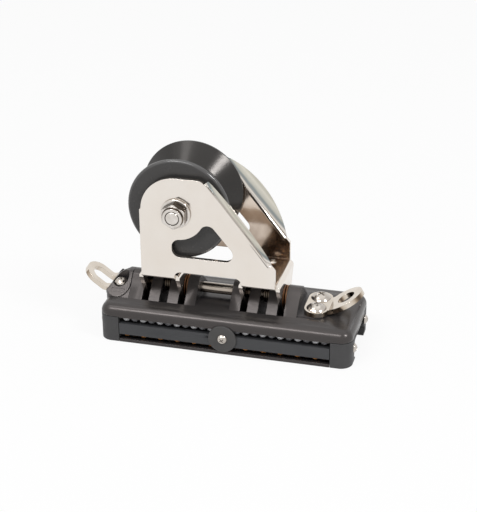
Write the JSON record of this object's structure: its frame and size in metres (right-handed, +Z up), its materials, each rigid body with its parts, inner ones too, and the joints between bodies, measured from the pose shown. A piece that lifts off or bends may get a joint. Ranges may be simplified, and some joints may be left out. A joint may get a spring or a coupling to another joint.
{
  "type": "genoa car",
  "caption": "Recirculating-ball slider for a sail track, with a grooved sheave in a hinged, folded sheet cage and a tow loop at each end.",
  "frame": {"origin": "middle of the slider in length and width, on the plane of its underside", "axes": "+X along the track, towards the end with the bare shoulder and the ring; -Y towards the side with the axle nut; +Z up"},
  "size_m": [0.2132, 0.078, 0.1436],
  "materials": {
    "dark_alloy": "satin hard-anodised, dark warm grey",
    "cap_plastic": "satin moulded, dark grey",
    "bar_alloy": "satin hard-anodised, dark grey",
    "disc_plastic": "satin, dark grey",
    "pale_balls": "polished, off-white",
    "amber_balls": "polished, amber",
    "amber_plastic": "semi-gloss, amber",
    "bearing_plastic": "satin, black",
    "sheave_alloy": "satin hard-anodised, dark grey",
    "cage_steel": "electropolished sheet",
    "tow_steel": "polished sheet",
    "spring_steel": "bright wire",
    "bright_steel": "polished"
  },
  "bodies": {
    "slider": {"far_clamp_disc": "disc_plastic", "far_disc_screw": "bright_steel", "far_left_cap_screw": "bright_steel", "far_left_return_cap": "cap_plastic", "far_lower_balls": "amber_balls", "far_race_bar": "bar_alloy", "far_right_cap_screw": "bright_steel", "far_right_return_cap": "cap_plastic", "far_upper_balls": "pale_balls", "hinge_pin": "bright_steel", "inner_thrust_washer": "amber_plastic", "left_end_cover": "dark_alloy", "left_far_tow_screw": "bright_steel", "left_near_tow_screw": "bright_steel", "left_spring": "spring_steel", "left_tow_loop": "tow_steel", "near_clamp_disc": "disc_plastic", "near_disc_screw": "bright_steel", "near_left_cap_screw": "bright_steel", "near_left_return_cap": "cap_plastic", "near_lower_balls": "amber_balls", "near_race_bar": "bar_alloy", "near_right_cap_screw": "bright_steel", "near_right_return_cap": "cap_plastic", "near_upper_balls": "pale_balls", "outer_thrust_washer": "amber_plastic", "right_far_tow_screw": "bright_steel", "right_near_tow_screw": "bright_steel", "right_spring": "spring_steel", "right_tow_loop": "tow_steel", "slider_body": "dark_alloy"},
    "cage": {"axle_bolt": "bright_steel", "axle_nut": "bright_steel", "distance_sleeve": "bright_steel", "far_axle_washer": "bright_steel", "far_side_ring": "bearing_plastic", "left_far_anchor_screw": "bright_steel", "left_near_anchor_screw": "bright_steel", "near_axle_washer": "bright_steel", "near_side_ring": "bearing_plastic", "right_far_anchor_screw": "bright_steel", "right_near_anchor_screw": "bright_steel", "sheave_cage": "cage_steel"},
    "sheave": {"sheave": "sheave_alloy", "sheave_bearing": "bearing_plastic"}
  },
  "joints": [
    {"name": "cage_hinge", "type": "hinge", "parent": "slider", "child": "cage", "pos_m": [-0.0123, 0, 0.035], "axis": [1, 0, 0], "range_deg": [-40, 40], "stiffness_Nm_per_rad": 4},
    {"name": "sheave_spin", "type": "hinge", "parent": "cage", "child": "sheave", "pos_m": [-0.0355, 0, 0.1056], "axis": [0, 1, 0], "continuous": true}
  ]
}
